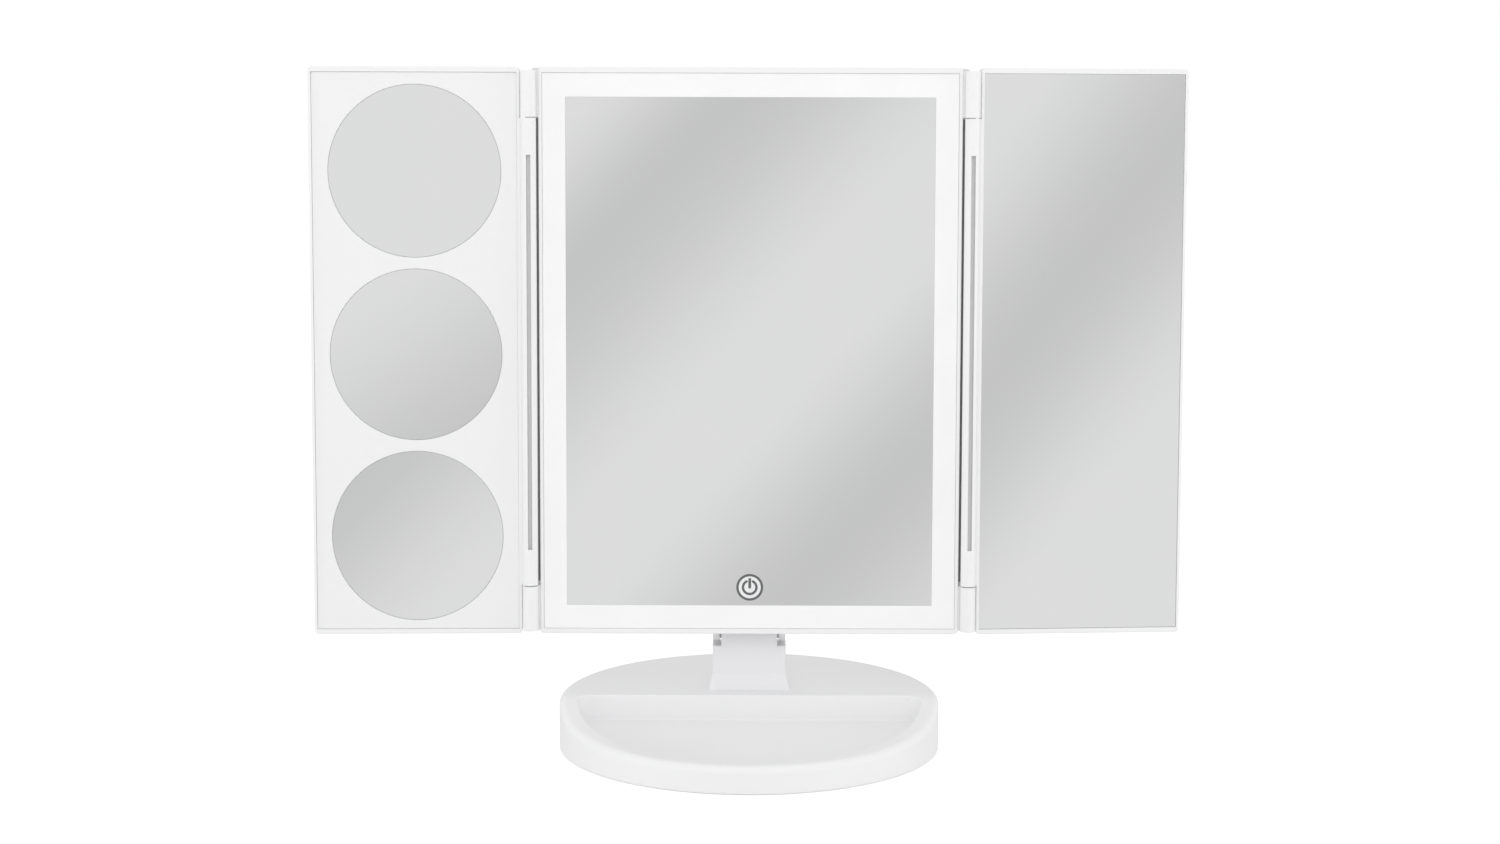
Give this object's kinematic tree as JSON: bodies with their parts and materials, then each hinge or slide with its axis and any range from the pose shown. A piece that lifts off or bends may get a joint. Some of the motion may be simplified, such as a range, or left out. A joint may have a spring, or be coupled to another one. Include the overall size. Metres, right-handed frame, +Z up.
{
  "type": "trifold vanity mirror",
  "caption": "Folding lighted vanity mirror: centre mirror with a light border and touch key, two folding wings, one with round dished mirrors, on a round base with a tray.",
  "frame": {"origin": "on the table under the middle of the round base", "axes": "+X to the right of someone facing the mirror, +Y away from the viewer, +Z up"},
  "size_m": [0.3444, 0.152, 0.2698],
  "materials": {
    "white_plastic": "smooth white moulded ABS, semi-gloss",
    "opal": "opal acrylic light border, satin",
    "mirror": "silvered glass",
    "steel": "plated steel",
    "dark_steel": "blackened steel plate",
    "copper": "bare copper",
    "board_white": "white solder mask and white reflector film",
    "board_green": "green solder mask",
    "led": "phosphor-coated light chip",
    "cell_wrap": "plain wrapped steel can",
    "rubber": "soft grey rubber"
  },
  "bodies": {
    "stand": {"base_shell": "white_plastic", "base_bottom_plate": "white_plastic", "base_feet": "rubber", "base_plate_screws": "steel", "base_ballast": "dark_steel", "neck_column": "white_plastic", "neck_rear_cover": "white_plastic", "neck_screws": "steel", "tilt_shaft": "steel", "tilt_washers": "white_plastic"},
    "panel": {"front_frame": "white_plastic", "light_diffuser": "opal", "centre_mirror": "mirror", "touch_sensor_pad": "copper", "light_boards": "board_white", "light_chips": "led", "reflector_sheet": "board_white", "rear_housing": "white_plastic", "housing_screws": "steel", "circuit_board": "board_green", "board_screws": "steel", "power_inlet": "steel", "touch_spring": "steel", "battery_cells": "cell_wrap", "battery_contacts": "steel", "left_hinge_pins": "steel", "right_hinge_pins": "steel"},
    "left_wing": {"left_wing_shell": "white_plastic", "left_face_panel": "white_plastic", "round_mirror_top": "mirror", "round_mirror_middle": "mirror", "round_mirror_bottom": "mirror"},
    "right_wing": {"right_wing_shell": "white_plastic", "right_mirror": "mirror"},
    "door": {"battery_door": "white_plastic"}
  },
  "joints": [
    {"name": "panel_tilt", "type": "hinge", "parent": "stand", "child": "panel", "pos_m": [0, 0.0152, 0.045], "axis": [-1, 0, 0], "range_deg": [-17, 87.5]},
    {"name": "left_wing_fold", "type": "hinge", "parent": "panel", "child": "left_wing", "pos_m": [-0.0867, -0.00826, 0.04646], "axis": [0, 0.0429, 0.9991], "range_deg": [-12, 178]},
    {"name": "right_wing_fold", "type": "hinge", "parent": "panel", "child": "right_wing", "pos_m": [0.0867, -0.00826, 0.04646], "axis": [0, -0.0429, -0.9991], "range_deg": [-5, 185]},
    {"name": "battery_door_swing", "type": "hinge", "parent": "panel", "child": "door", "pos_m": [0, 0.01767, 0.1024], "axis": [-1, 0, 0], "range_deg": [0, 75]}
  ]
}
